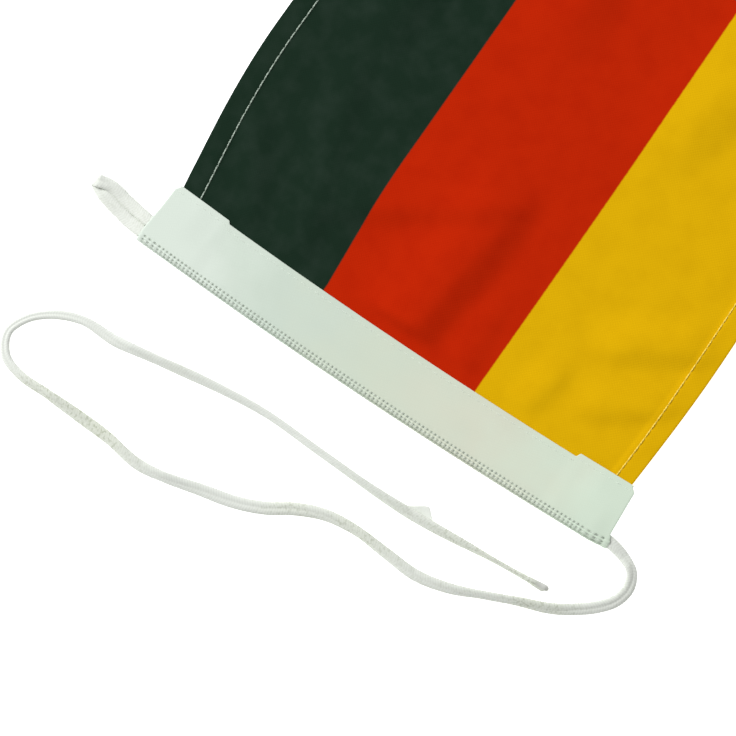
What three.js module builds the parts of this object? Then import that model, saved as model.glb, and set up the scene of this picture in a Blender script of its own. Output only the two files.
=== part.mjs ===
// A small national flag with three printed stripes, hemmed on three sides. Its hoist edge is held in
// a folded white tape, the heading. A flat braided cord makes a loop at the black corner, runs inside
// the fold of the heading and leaves the gold corner as a free tail. All of it lies on a flat surface.
//
// Millimetres, +Z up. While the pieces are made, X runs along the fly from the edge of the heading and
// Y runs up the hoist towards the black edge, with 0 in its middle. Z is 0 on the surface.
import * as THREE from "three";

// Driving dimensions
const HALF_HOIST = 100; // half of the hoist, along which the bowed lines below are stated
const FLY_EDGE = 271.8; // the fly edge, which makes the flag 300 long from the heading's fold
const CLOTH = 1.0;
const HEM = 1.8; // the thickness of the cloth where it is turned in
const HEM_WIDTH = 8.3;
const HEM_STEP = 0.8; // the width of the step beside the turned-in cloth
const TUCK_EDGE = -14; // the raw edge of the cloth inside the heading
const TAPE = 1.0;
const TURNED_TAPE = 1.4; // the top layer of the heading where its end is turned in
const TURNED_END = 77.5; // the turned-in ends of the heading start this far from its middle
const TURNED_STEP = 1.2;
const CORD_WIDTH = 4.4;
const CORD_THICKNESS = 2.0;
const GAP = 0.3; // between pieces that touch

const { lerp, clamp, smoothstep } = THREE.MathUtils;

// The four lines along the fly. The heading gathers the cloth, so each line spreads away from its
// place at the heading (at) by spread, over a run of run, and is straight after that.
const GOLD_EDGE = { at: -99.6, spread: -2.8, run: 60 };
const RED_TO_GOLD = { at: -33.1, spread: -1.1, run: 120 };
const BLACK_TO_RED = { at: 34.2, spread: 3.4, run: 60 };
const BLACK_EDGE = { at: 99.6, spread: 8.0, run: 75 };

function lineY(line, x) {
  return line.at + line.spread * Math.sin((Math.PI / 2) * clamp(x / line.run, 0, 1));
}

// Soft ridges of the cloth. A crest runs from (x1, y1) to (x2, y2) and is rise high. It comes down over
// the way left on its left side and right on its right side, seen along the crest, and past its ends
// it fades over a longer way than that.
const RIDGE_FADE = 1.5;
const RIDGES = [
  { x1: 2, y1: 0, x2: 46, y2: -4.5, left: 28, right: 14, rise: 2.9 },
  { x1: 5, y1: -24, x2: 20, y2: -23, left: 12, right: 8, rise: 0.7 },
  { x1: 32, y1: 40, x2: 55, y2: 6, left: 30, right: 10, rise: 1.7 },
  { x1: 43, y1: -72, x2: 52, y2: -87, left: 16, right: 9, rise: 1.6 },
  { x1: 18, y1: -76, x2: 28, y2: -90, left: 14, right: 7, rise: 1.0 },
  { x1: 2, y1: -51.5, x2: 15, y2: -54, left: 12, right: 7, rise: 0.9 },
  { x1: 7, y1: 74, x2: 34, y2: 90, left: 10, right: 9, rise: 0.7 },
  { x1: 10, y1: 52, x2: 66, y2: 70, left: 16, right: 10, rise: 0.9 },
  { x1: 130, y1: -46, x2: 186, y2: -58, left: 28, right: 17, rise: 1.8 },
  { x1: 112, y1: 74, x2: 196, y2: 84, left: 28, right: 18, rise: 2.2 },
  { x1: 150, y1: 18, x2: 236, y2: 30, left: 32, right: 20, rise: 2.4 },
  { x1: 196, y1: -44, x2: 262, y2: -34, left: 26, right: 16, rise: 1.9 },
];

function ridgeHeight(x, y) {
  let height = 0;
  for (const { x1, y1, x2, y2, left, right, rise } of RIDGES) {
    const length = Math.hypot(x2 - x1, y2 - y1);
    const along = ((x - x1) * (x2 - x1) + (y - y1) * (y2 - y1)) / length;
    const across = ((y - y1) * (x2 - x1) - (x - x1) * (y2 - y1)) / length;
    const past = Math.max(-along, along - length, 0);
    const fade = (RIDGE_FADE * (left + right)) / 2;
    const reach = Math.hypot(past / fade, across / (across > 0 ? left : right));
    if (reach < 1) height += rise * Math.cos((Math.PI / 2) * reach) ** 2;
  }
  return height;
}

// The underside of the cloth comes down from inside the heading to the surface.
const LIFT = TAPE + GAP;
const LANDING = 14;

function clothUnderside(x, y) {
  const loose = smoothstep(x + bow(y), 1, 7);
  return LIFT * (1 - smoothstep(x, 1, LANDING)) + loose * ridgeHeight(x, y);
}

function clothThickness(x, y) {
  const inset = Math.min(
    lineY(BLACK_EDGE, x) - y,
    y - lineY(GOLD_EDGE, x),
    FLY_EDGE - x,
  );
  const turned = 1 - smoothstep(inset, HEM_WIDTH - HEM_STEP / 2, HEM_WIDTH + HEM_STEP / 2);
  return lerp(CLOTH, HEM, turned);
}

// A closed sheet between a grid of lower points and a grid of upper points, rows[i][j] = { lower, upper }.
function sheetGeometry(rows) {
  const across = rows[0].length;
  const positions = rows.flat().flatMap(({ lower, upper }) => [...lower, ...upper]);
  const lower = (i, j) => 2 * (i * across + j);
  const upper = (i, j) => lower(i, j) + 1;
  const faces = [];
  const quad = (a, b, c, d) => faces.push(a, b, c, a, c, d);
  for (let i = 1; i < rows.length; i++) {
    for (let j = 1; j < across; j++) {
      quad(upper(i - 1, j - 1), upper(i, j - 1), upper(i, j), upper(i - 1, j));
      quad(lower(i - 1, j - 1), lower(i - 1, j), lower(i, j), lower(i, j - 1));
    }
  }
  const rim = [];
  for (let i = 1; i < rows.length; i++) rim.push([i, 0]);
  for (let j = 1; j < across; j++) rim.push([rows.length - 1, j]);
  for (let i = rows.length - 2; i >= 0; i--) rim.push([i, across - 1]);
  for (let j = across - 2; j >= 0; j--) rim.push([0, j]);
  rim.forEach((next, k) => {
    const last = rim.at(k - 1);
    quad(lower(...last), lower(...next), upper(...next), upper(...last));
  });
  const geometry = new THREE.BufferGeometry();
  geometry.setAttribute("position", new THREE.Float32BufferAttribute(positions, 3));
  geometry.setIndex(faces);
  return geometry;
}

// A closed solid through rings of equally many points, with flat or nearly flat ends. Seen along the
// way from ring to ring, the points run counter-clockwise. outline holds a ring in its own plane, which
// tells how the ends are cut into triangles.
function loftGeometry(rings, outline) {
  const count = outline.length;
  const positions = rings.flat().flatMap((point) => [...point]);
  const faces = [];
  for (let i = 1; i < rings.length; i++) {
    for (let j = 0; j < count; j++) {
      const a = (i - 1) * count + j;
      const b = (i - 1) * count + ((j + 1) % count);
      faces.push(a, b + count, b, a, a + count, b + count);
    }
  }
  const end = (rings.length - 1) * count;
  for (const [a, b, c] of THREE.ShapeUtils.triangulateShape(outline, [])) {
    faces.push(a, b, c, end + a, end + c, end + b);
  }
  const geometry = new THREE.BufferGeometry();
  geometry.setAttribute("position", new THREE.Float32BufferAttribute(positions, 3));
  geometry.setIndex(faces);
  return geometry;
}

// Stations from a to b, a fixed number of equal steps, without b itself.
function steps(a, b, count) {
  return Array.from({ length: count }, (_, i) => lerp(a, b, i / count));
}

// The flag cloth: one sheet with thicker hems
function flagCloth() {
  const hem = (line, inset) => ({ ...line, at: line.at + inset });
  const near = HEM_WIDTH - HEM_STEP / 2;
  const far = HEM_WIDTH + HEM_STEP / 2;
  // Each row is a line along the fly and the number of cells up to the next one.
  const bands = [
    { line: GOLD_EDGE, cells: 2 },
    { line: hem(GOLD_EDGE, near), cells: 1 },
    { line: hem(GOLD_EDGE, far), cells: 9 },
    { line: RED_TO_GOLD, cells: 10 },
    { line: BLACK_TO_RED, cells: 9 },
    { line: hem(BLACK_EDGE, -far), cells: 1 },
    { line: hem(BLACK_EDGE, -near), cells: 2 },
    { line: BLACK_EDGE, cells: 0 },
  ];
  const stations = [
    ...steps(TUCK_EDGE, 0, 3),
    ...steps(0, LANDING, 4),
    ...steps(LANDING, 74, 12),
    ...steps(74, FLY_EDGE - far, 19),
    ...steps(FLY_EDGE - far, FLY_EDGE - near, 1),
    ...steps(FLY_EDGE - near, FLY_EDGE, 2),
    FLY_EDGE,
  ];
  const rows = stations.map((x) => {
    const ys = bands.flatMap(({ line, cells }, i) =>
      cells ? steps(lineY(line, x), lineY(bands[i + 1].line, x), cells) : lineY(line, x),
    );
    return ys.map((y) => {
      const z = clothUnderside(x, y);
      return { lower: [x, y, z], upper: [x, y, z + clothThickness(x, y)] };
    });
  });
  return sheetGeometry(rows);
}

// The heading's outer fold and its edge on the cloth are bowed. The fold also leans a little, and
// the edge stands out further where the ends of the tape are turned in.
const BOW = 2.2;
const OUTER_FOLD = { end: -26.0, lean: -0.7 };
const FLAG_SIDE = { end: -1.35, blackEnd: 1.1, goldEnd: 1.8 };

function bow(y) {
  return BOW * (1 - (y / HALF_HOIST) ** 2);
}

function outerFold(y) {
  return OUTER_FOLD.end + (OUTER_FOLD.lean * y) / HALF_HOIST - bow(y);
}

function turnedEnd(y) {
  const past = Math.abs(y) - TURNED_END;
  return smoothstep(past, -TURNED_STEP / 2, TURNED_STEP / 2);
}

function flagSide(y) {
  return FLAG_SIDE.end - bow(y) + turnedEnd(y) * (y > 0 ? FLAG_SIDE.blackEnd : FLAG_SIDE.goldEnd);
}

// How far the ends of the tape stand past the ends of the hoist: end columns from the edge on the
// cloth to the fold. The corner on the cloth is cut back a little.
const TAPE_ENDS = {
  corner: { x: -1.4, y: 0.4 },
  black: { near: 1.5, far: 2.3 },
  gold: { near: 1.9, far: 3.2 },
  start: 0.93, // the part of the half hoist after which the tape follows its slanted end
};

function tapeY(station, x) {
  const end = station > 0 ? TAPE_ENDS.black : TAPE_ENDS.gold;
  const toFold = clamp(x / OUTER_FOLD.end, 0, 1);
  const past = x > TAPE_ENDS.corner.x ? TAPE_ENDS.corner.y : lerp(end.near, end.far, toFold);
  const share = clamp((Math.abs(station) - TAPE_ENDS.start) / (1 - TAPE_ENDS.start), 0, 1);
  return station * HALF_HOIST + Math.sign(station) * past * share;
}

// The bay in the fold that holds the cord. At the black end it is wide enough for a second strand.
const BAY_CEILING = TAPE + GAP + CORD_THICKNESS + GAP;
const BAY_MIDDLE = BAY_CEILING / 2 + TAPE / 2;
const FOLD_RADIUS = BAY_MIDDLE;
const BAY_WIDTH = TAPE + GAP + CORD_WIDTH + GAP;
const WIDE_BAY = { from: 82, to: 86, width: BAY_WIDTH + CORD_WIDTH + 2 * GAP };
const BAY_SLOPE = 1.6; // from the ceiling of the bay down to the tape on the cloth
const LOWER_EDGE = 0.6; // the hidden lower layer ends this far short of the upper one

// One section of the folded tape, as points (x, z): along its inside, then back round its outside.
function headingOutline(y) {
  const fold = outerFold(y);
  const edge = flagSide(y);
  const ceiling = LIFT + clothThickness(TUCK_EDGE, y + HEM_STEP * Math.sign(y)) + GAP;
  const top = ceiling + lerp(TAPE, TURNED_TAPE, turnedEnd(y));
  const bay = fold + lerp(BAY_WIDTH, WIDE_BAY.width, smoothstep(y, WIDE_BAY.from, WIDE_BAY.to));
  const middle = new THREE.Vector2(fold + FOLD_RADIUS, BAY_MIDDLE);
  const arc = (radius) =>
    [0, 1, 2, 3, 4, 5, 6].map((k) => {
      const angle = -Math.PI / 2 - (k * Math.PI) / 6;
      return new THREE.Vector2(radius, 0).rotateAround(new THREE.Vector2(), angle).add(middle);
    });
  return [
    new THREE.Vector2(edge - LOWER_EDGE, TAPE),
    new THREE.Vector2(bay, TAPE),
    ...arc(FOLD_RADIUS - TAPE),
    new THREE.Vector2(bay, BAY_CEILING),
    new THREE.Vector2(bay + BAY_SLOPE, ceiling),
    new THREE.Vector2(edge, ceiling),
    new THREE.Vector2(edge, top),
    new THREE.Vector2(bay + BAY_SLOPE, top),
    new THREE.Vector2(bay, BAY_CEILING + TAPE),
    ...arc(FOLD_RADIUS).reverse(),
    new THREE.Vector2(bay, 0),
    new THREE.Vector2(edge - LOWER_EDGE, 0),
  ];
}

function heading() {
  const turned = TURNED_END / HALF_HOIST;
  const hemmed = (BLACK_EDGE.at - HEM_WIDTH - HEM_STEP) / HALF_HOIST;
  const step = 0.006;
  const half = [turned + step, 0.82, 0.86, hemmed - step, hemmed + step, 0.96, 1];
  const stations = [
    ...half.map((station) => -station).reverse(),
    ...steps(step - turned, turned - step, 22),
    turned - step,
    ...half,
  ];
  const rings = stations.map((station) =>
    headingOutline(station * HALF_HOIST).map(({ x, y: z }) => [x, tapeY(station, x), z]),
  );
  return loftGeometry(rings, headingOutline(-HALF_HOIST));
}

// The hoist cord from inside the gold end of the heading, along the fold, round the loop and back
// under the tape. The loop's points are chosen by hand; its two strands lie side by side.
const RUN_INSET = TAPE + GAP + CORD_WIDTH / 2;
const CORD_START = -101.1;
const LOOP_ROUTE = [
  [-22.9, 102.6, 2.3],
  [-22.1, 108.5, 1.5],
  [-20.9, 115.0, 1.0],
  [-19.5, 121.4, 1.2],
  [-18.8, 125.0, 1.7],
  [-16.6, 127.3, 1.9],
  [-14.4, 125.0, 1.7],
  [-14.9, 121.4, 1.2],
  [-16.3, 114.8, 1.0],
  [-17.6, 108.3, 1.5],
  [-18.3, 103.0, 2.3],
  [-18.4, 98.0, 2.3],
  [-18.4, 89.0, 2.3],
];
// Where the braid turns back it is rolled halfway onto its edge, so it is narrower and taller there.
const LOOP_TIP = { from: 120, to: 126.5, width: 3.4, height: 3.7 };
const CORD_SIDES = 10;

// A rounded section of the braid, counter-clockwise.
function braidOutline(width, height) {
  return Array.from({ length: CORD_SIDES }, (_, k) => {
    const angle = (2 * Math.PI * (k + 0.5)) / CORD_SIDES;
    return new THREE.Vector2((width / 2) * Math.cos(angle), (height / 2) * Math.sin(angle));
  });
}

function hoistCord() {
  const run = [...steps(CORD_START, HALF_HOIST, 16), HALF_HOIST].map(
    (y) => new THREE.Vector3(outerFold(y) + RUN_INSET, y, BAY_MIDDLE),
  );
  const loop = LOOP_ROUTE.map((point) => new THREE.Vector3(...point));
  const route = new THREE.CatmullRomCurve3([...run, ...loop], false, "centripetal");
  const loopStart = run.length / (run.length + loop.length - 1);
  const stations = [...steps(0, loopStart, 24), ...steps(loopStart, 1, 40), 1];
  const rings = stations.map((station) => {
    const centre = route.getPoint(station);
    const ahead = route.getTangent(station);
    const side = new THREE.Vector3(-ahead.y, ahead.x, 0).normalize();
    const onEdge = smoothstep(centre.y, LOOP_TIP.from, LOOP_TIP.to);
    const height = lerp(CORD_THICKNESS, LOOP_TIP.height, onEdge);
    const outline = braidOutline(lerp(CORD_WIDTH, LOOP_TIP.width, onEdge), height);
    const rest = Math.max(centre.z, height / 2);
    return outline.map(({ x, y }) => centre.clone().addScaledVector(side, -x).setZ(rest + y));
  });
  return loftGeometry(rings, braidOutline(CORD_WIDTH, CORD_THICKNESS));
}

// The free tail of the cord, from inside the gold end of the heading: chosen points, (x, y, z). It
// comes down to the surface and lies flat on it, in one long loop that doesn't cross itself.
const TAIL_REST = 1.1;
const TAIL_ROUTE = [
  [-21.7, -101.5, 2.3],
  [-21.9, -105.5, 2.1],
  [-23.1, -111.0, 1.5],
  [-26.1, -116.6, TAIL_REST],
  [-31.7, -119.0, TAIL_REST],
  [-37.7, -117.9, TAIL_REST],
  [-43.0, -114.1, TAIL_REST],
  [-48.6, -107.6, TAIL_REST],
  [-53.8, -99.4, TAIL_REST],
  [-58.2, -88.6, TAIL_REST],
  [-63.3, -77.1, TAIL_REST],
  [-68.2, -65.6, TAIL_REST],
  [-71.1, -52.8, TAIL_REST],
  [-70.5, -38.8, TAIL_REST],
  [-69.9, -25.8, TAIL_REST],
  [-71.4, -14.0, TAIL_REST],
  [-75.8, -3.4, TAIL_REST],
  [-81.7, 5.8, TAIL_REST],
  [-86.2, 16.4, TAIL_REST],
  [-89.6, 29.6, TAIL_REST],
  [-93.2, 42.9, TAIL_REST],
  [-94.7, 54.0, TAIL_REST],
  [-92.9, 68.0, TAIL_REST],
  [-92.4, 82.0, TAIL_REST],
  [-92.2, 96.0, TAIL_REST],
  [-92.1, 108.5, TAIL_REST],
  [-89.2, 116.8, TAIL_REST],
  [-81.8, 121.3, TAIL_REST],
  [-73.8, 118.6, TAIL_REST],
  [-66.8, 111.2, TAIL_REST],
  [-62.5, 100.9, TAIL_REST],
  [-62.0, 86.9, TAIL_REST],
  [-59.0, 68.5, TAIL_REST],
  [-55.6, 48.5, TAIL_REST],
  [-53.2, 26.0, TAIL_REST],
  [-53.7, 2.0, TAIL_REST],
  [-54.2, -25.0, TAIL_REST],
  [-53.3, -46.0, TAIL_REST],
  [-51.0, -70.1, TAIL_REST],
  [-48.9, -94.4, TAIL_REST],
];
const TAIL_STEPS = 80;

function tailCord() {
  const points = TAIL_ROUTE.map((point) => new THREE.Vector3(...point));
  return new THREE.ExtrudeGeometry(new THREE.Shape(braidOutline(CORD_WIDTH, CORD_THICKNESS)), {
    steps: TAIL_STEPS,
    bevelEnabled: false,
    extrudePath: new THREE.CatmullRomCurve3(points, false, "centripetal"),
  });
}

const finish = (color, roughness) => new THREE.MeshStandardMaterial({ color, roughness, metalness: 0 });

function piece(name, geometry, material) {
  const mesh = new THREE.Mesh(geometry, material);
  mesh.name = name;
  return mesh;
}

// The cloth's one mesh takes the colour of its middle stripe.
const pieces = new THREE.Group();
pieces.add(
  piece("flag_cloth", flagCloth(), finish(0xbe260a, 0.85)),
  piece("heading", heading(), finish(0xdee8de, 0.8)),
  piece("hoist_cord", hoistCord(), finish(0xe1e6e0, 0.6)),
);

// The origin is the middle of the underside of these pieces. The free tail isn't counted.
const middle = new THREE.Box3().setFromObject(pieces, true).getCenter(new THREE.Vector3());
pieces.add(piece("tail_cord", tailCord(), finish(0xe1e6e0, 0.6)));
pieces.position.set(-middle.x, -middle.y, 0);

const flag = new THREE.Group();
flag.add(pieces);

export default flag;
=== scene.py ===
import math

import bpy
import numpy as np
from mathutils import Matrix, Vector, noise


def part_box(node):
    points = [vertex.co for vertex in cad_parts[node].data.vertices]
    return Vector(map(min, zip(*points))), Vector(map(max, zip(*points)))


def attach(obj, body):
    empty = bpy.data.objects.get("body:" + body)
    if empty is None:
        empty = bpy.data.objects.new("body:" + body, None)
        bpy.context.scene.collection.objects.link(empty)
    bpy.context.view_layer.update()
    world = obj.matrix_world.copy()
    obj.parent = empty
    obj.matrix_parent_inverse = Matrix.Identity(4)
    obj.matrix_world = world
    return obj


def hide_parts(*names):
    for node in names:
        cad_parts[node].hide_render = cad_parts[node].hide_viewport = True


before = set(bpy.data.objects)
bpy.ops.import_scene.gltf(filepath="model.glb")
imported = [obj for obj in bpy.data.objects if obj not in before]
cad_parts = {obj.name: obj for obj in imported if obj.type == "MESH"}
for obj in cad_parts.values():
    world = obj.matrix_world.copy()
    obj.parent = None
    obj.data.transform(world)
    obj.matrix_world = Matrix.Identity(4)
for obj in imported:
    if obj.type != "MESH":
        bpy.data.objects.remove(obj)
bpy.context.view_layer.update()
bpy.ops.object.select_all(action="DESELECT")

# The photograph's camera
# It looks down over the heading from 80 degrees above the table. Places on the flag are counted from
# the middle of the hoist: x along the fly from the heading's edge, y up the hoist to the black stripe.
FLY_EDGE = 0.2718
BLACK_CORNER = 0.1076
cloth_low, cloth_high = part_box("flag_cloth")
hoist_middle = Vector((cloth_high.x - FLY_EDGE, cloth_high.y - BLACK_CORNER, 0))

AZIMUTH = math.radians(-55.7)
ELEVATION = math.radians(80)
CAMERA_DISTANCE = 0.8
LENS = 106.33
SENSOR = 36
AIM = Vector((-0.01781, 0.00427, 0))

picture_right = Vector((math.cos(AZIMUTH), math.sin(AZIMUTH), 0))
picture_up = Vector((-math.sin(AZIMUTH), math.cos(AZIMUTH), 0))
to_camera = Vector((0, 0, math.sin(ELEVATION))) - picture_up * math.cos(ELEVATION)
camera = bpy.data.objects.new("camera", bpy.data.cameras.new("camera"))
camera.data.lens = LENS
camera.data.sensor_width = SENSOR
camera.data.clip_start = 0.05
camera.location = hoist_middle + AIM + to_camera * CAMERA_DISTANCE
camera.rotation_mode = "QUATERNION"
camera.rotation_quaternion = (-to_camera).to_track_quat("-Z", "Y")
bpy.context.scene.collection.objects.link(camera)
bpy.context.scene.camera = camera

# The table and the light
# A plain white table in a white room. One large soft light stands to the upper left of the picture,
# low enough to shade the far side of each fold, and the room's light fills the shadows.
TABLE_SIZE = 4
TABLE_DEPTH = 0.0001  # the table's top lies this far under the flag
ROOM_LIGHT = 0.42
KEY_SIZE = 1.7
KEY_DISTANCE = 3
KEY_HEIGHT = math.radians(42)
KEY_TURN = math.radians(52)  # from the top of the picture towards its left
KEY_POWER = 91

bpy.ops.mesh.primitive_plane_add(size=TABLE_SIZE, location=(0, 0, -TABLE_DEPTH))
table = bpy.context.object
table.name = "table"
table_paint = bpy.data.materials.new("table_paint")
table_paint.use_nodes = True
paint = table_paint.node_tree.nodes["Principled BSDF"]
paint.inputs["Base Color"].default_value = (0.93, 0.93, 0.93, 1)
paint.inputs["Roughness"].default_value = 0.9
paint.inputs["Specular IOR Level"].default_value = 0.1
paint.inputs["Emission Color"].default_value = (1, 1, 1, 1)
paint.inputs["Emission Strength"].default_value = 0.85
table.data.materials.append(table_paint)

room = bpy.data.worlds.new("room")
room.use_nodes = True
room.node_tree.nodes["Background"].inputs["Color"].default_value = (1, 1, 1, 1)
room.node_tree.nodes["Background"].inputs["Strength"].default_value = ROOM_LIGHT
bpy.context.scene.world = room
bpy.context.scene.view_settings.view_transform = "Standard"

to_key = picture_up * math.cos(KEY_TURN) - picture_right * math.sin(KEY_TURN)
to_key = to_key * math.cos(KEY_HEIGHT) + Vector((0, 0, math.sin(KEY_HEIGHT)))
key_light = bpy.data.objects.new("key_light", bpy.data.lights.new("key_light", "AREA"))
key_light.data.size = KEY_SIZE
key_light.data.energy = KEY_POWER
key_light.location = to_key * KEY_DISTANCE
key_light.rotation_mode = "QUATERNION"
key_light.rotation_quaternion = (-to_key).to_track_quat("-Z", "Y")
bpy.context.scene.collection.objects.link(key_light)

# The free tail of the hoist cord
# A flat braid of white polyester, 4.4 mm wide and 2 mm thick: two ribs with a groove between them,
# their strands laid in a V. It leaves the fold of the heading at the gold corner, lies on the table in
# one long loop, twists from flat to its edge and back, and ends in a heat-sealed tip.
BRAID_WIDTH = 0.0044
RIB_HALF_WIDTH = 0.00135
RIB_HALF_HEIGHT = 0.001
RIB_CENTRE = BRAID_WIDTH / 2 - RIB_HALF_WIDTH
RIB_STEPS = 13  # points round each rib
STRAND_PITCH = 0.0010  # along the braid
STRAND_SLANT = 0.0005  # along the braid for each radian round a rib
STRAND_RELIEF = 0.00007
STRAND_CROWN = 2.2  # the larger, the squarer the strands
FILAMENTS = 5  # seen across each strand
RING_STEP = 0.00018
CURVE_STEPS = 24  # points in each span of a route's curve
FOLD_REACH = 0.0022  # along the braid, to each side of a crease
TAIL_REST = 0.0011
TAIL_ROUTE = [
    (-0.0217, -0.1015, 0.0023),
    (-0.0219, -0.1055, 0.0021),
    (-0.0231, -0.1110, 0.0015),
    (-0.0261, -0.1166, TAIL_REST),
    (-0.0317, -0.1190, TAIL_REST),
    (-0.0377, -0.1179, TAIL_REST),
    (-0.0430, -0.1141, TAIL_REST),
    (-0.0486, -0.1076, TAIL_REST),
    (-0.0538, -0.0994, TAIL_REST),
    (-0.0582, -0.0886, TAIL_REST),
    (-0.0633, -0.0771, TAIL_REST),
    (-0.0682, -0.0656, TAIL_REST),
    (-0.0711, -0.0528, TAIL_REST),
    (-0.0705, -0.0388, TAIL_REST),
    (-0.0699, -0.0258, TAIL_REST),
    (-0.0714, -0.0140, TAIL_REST),
    (-0.0758, -0.0034, TAIL_REST),
    (-0.0817, 0.0058, TAIL_REST),
    (-0.0862, 0.0164, TAIL_REST),
    (-0.0896, 0.0296, TAIL_REST),
    (-0.0932, 0.0429, TAIL_REST),
    (-0.0947, 0.0540, TAIL_REST),
    (-0.0929, 0.0680, TAIL_REST),
    (-0.0924, 0.0820, TAIL_REST),
    (-0.0922, 0.0960, TAIL_REST),
    (-0.0921, 0.1085, TAIL_REST),
    (-0.0892, 0.1168, TAIL_REST),
    (-0.0818, 0.1213, TAIL_REST),
    (-0.0738, 0.1186, TAIL_REST),
    (-0.0668, 0.1112, TAIL_REST),
    (-0.0625, 0.1009, TAIL_REST),
    (-0.0620, 0.0869, TAIL_REST),
    (-0.0590, 0.0685, TAIL_REST),
    (-0.0556, 0.0485, TAIL_REST),
    (-0.0532, 0.0260, TAIL_REST),
    (-0.0537, 0.0020, TAIL_REST),
    (-0.0542, -0.0250, TAIL_REST),
    (-0.0533, -0.0460, TAIL_REST),
    (-0.0510, -0.0701, TAIL_REST),
    (-0.0489, -0.0944, TAIL_REST),
]
# How far the braid is rolled over, at these lengths along the tail: at, then degrees. 0 is flat, 90 on
# its edge with the rib on the right of the way raised, and -90 on its edge with the left rib raised.
TAIL_ROLL = [
    (0.000, 0), (0.008, 15), (0.014, 35), (0.022, 15), (0.044, 22), (0.056, 42), (0.068, 62),
    (0.080, 62), (0.092, 36), (0.104, 22), (0.118, 38), (0.128, 50), (0.140, 30), (0.154, 6),
    (0.176, 8), (0.190, 20), (0.204, 42), (0.213, 22), (0.224, 34), (0.238, 15), (0.248, 32),
    (0.256, 48), (0.266, 34), (0.276, 10), (0.300, 5), (0.320, 8), (0.330, -10), (0.338, -42),
    (0.350, -54), (0.362, -46), (0.376, -60), (0.398, -72), (0.434, -67), (0.447, -52),
    (0.458, -34), (0.468, -46), (0.480, -64), (0.491, -88), (0.506, -90), (0.512, -68),
    (0.515, -66),
]
# Shares of the full width and thickness along the tail: the braid is drawn narrow round the bend and
# stretched thin before its tip.
TAIL_WIDTH = [
    (0.140, 1.05), (0.154, 1.12), (0.184, 1.12), (0.196, 1.05), (0.252, 1.03), (0.264, 0.88),
    (0.272, 0.80), (0.280, 0.84), (0.290, 0.76), (0.300, 0.74), (0.310, 0.84), (0.318, 0.82),
    (0.328, 0.96), (0.334, 1.05), (0.478, 1.05), (0.494, 0.86), (0.500, 0.86), (0.512, 1.10),
]
TAIL_THICKNESS = [(0.478, 1.00), (0.494, 0.86), (0.500, 0.86), (0.512, 1.10)]
# How soiled the tail is from handling: at these lengths along it, a share of the worst.
TAIL_SOIL = [
    (0.002, 0.2), (0.040, 0.3), (0.050, 0.9), (0.066, 0.8), (0.076, 0.4), (0.106, 0.5),
    (0.150, 0.7), (0.180, 0.1), (0.210, 0.2), (0.232, 0.9), (0.262, 1.0), (0.275, 0.1),
    (0.350, 0.1), (0.360, 0.4), (0.375, 0.1), (0.424, 0.1), (0.440, 0.5), (0.478, 0.8),
    (0.512, 0.7),
]
SOIL_REACH = 0.516
SEALED_END = 0.006
SEALED_NARROWER = 0.2  # shares of the full width, thickness and strands' relief
SEALED_THICKER = 0.05
SEALED_SMOOTHER = 0.7
END_ROUNDING = 0.0008
END_RINGS = 6
END_TURN = 1.45  # of the last ring, in radians
END_BLUNTNESS = 0.6  # the smaller, the blunter the end


def smooth_curve(points):
    """A centripetal curve through the points, as close-set points."""
    p = np.array(points)
    p = np.vstack([2 * p[0] - p[1], p, 2 * p[-1] - p[-2]])
    a, b, c, d = p[:-3], p[1:-2], p[2:-1], p[3:]
    ab = np.linalg.norm(b - a, axis=1, keepdims=True) ** 0.5
    bc = np.linalg.norm(c - b, axis=1, keepdims=True) ** 0.5
    cd = np.linalg.norm(d - c, axis=1, keepdims=True) ** 0.5
    leave = bc * ((b - a) / ab - (c - a) / (ab + bc) + (c - b) / bc)
    arrive = bc * ((c - b) / bc - (d - b) / (bc + cd) + (d - c) / cd)
    t = np.linspace(0, 1, CURVE_STEPS, endpoint=False)[:, None, None]
    curve = (1 + 2 * t) * (1 - t) ** 2 * b + t * (1 - t) ** 2 * leave
    curve = curve + t**2 * (3 - 2 * t) * c - t**2 * (1 - t) * arrive
    return np.vstack([curve.transpose(1, 0, 2).reshape(-1, 3), p[-2]])


def length_along(curve):
    return np.concatenate([[0], np.cumsum(np.linalg.norm(np.diff(curve, axis=0), axis=1))])


def points_at(curve, lengths):
    run = length_along(curve)
    return np.stack([np.interp(lengths, run, curve[:, k]) for k in range(3)], axis=1)


def smoothstep(value, start, end):
    share = np.clip((value - start) / (end - start), 0, 1)
    return share * share * (3 - 2 * share)


def add_mesh(name, points, faces, places=None):
    """A smooth mesh of points counted from the middle of the hoist. places are each point's UV."""
    mesh = bpy.data.meshes.new(name)
    mesh.from_pydata((points + np.array(hoist_middle)).tolist(), [], faces)
    mesh.polygons.foreach_set("use_smooth", [True] * len(mesh.polygons))
    if places is not None:
        corners = np.empty(len(mesh.loops), dtype=int)
        mesh.loops.foreach_get("vertex_index", corners)
        layer = mesh.uv_layers.new(name="places")
        layer.data.foreach_set("uv", places[corners].astype(np.float32).ravel())
    piece = bpy.data.objects.new(name, mesh)
    bpy.context.scene.collection.objects.link(piece)
    return piece


def tube_faces(rings, around):
    ring = np.arange(rings - 1)[:, None] * around
    side = np.arange(around)[None, :]
    a = ring + side
    b = ring + (side + 1) % around
    walls = np.stack([a, a + around, b + around, b], axis=-1).reshape(-1, 4)
    last = (rings - 1) * around
    start_cap = list(range(around))
    end_cap = [last + k for k in reversed(range(around))]
    return walls.tolist() + [start_cap, end_cap]


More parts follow.
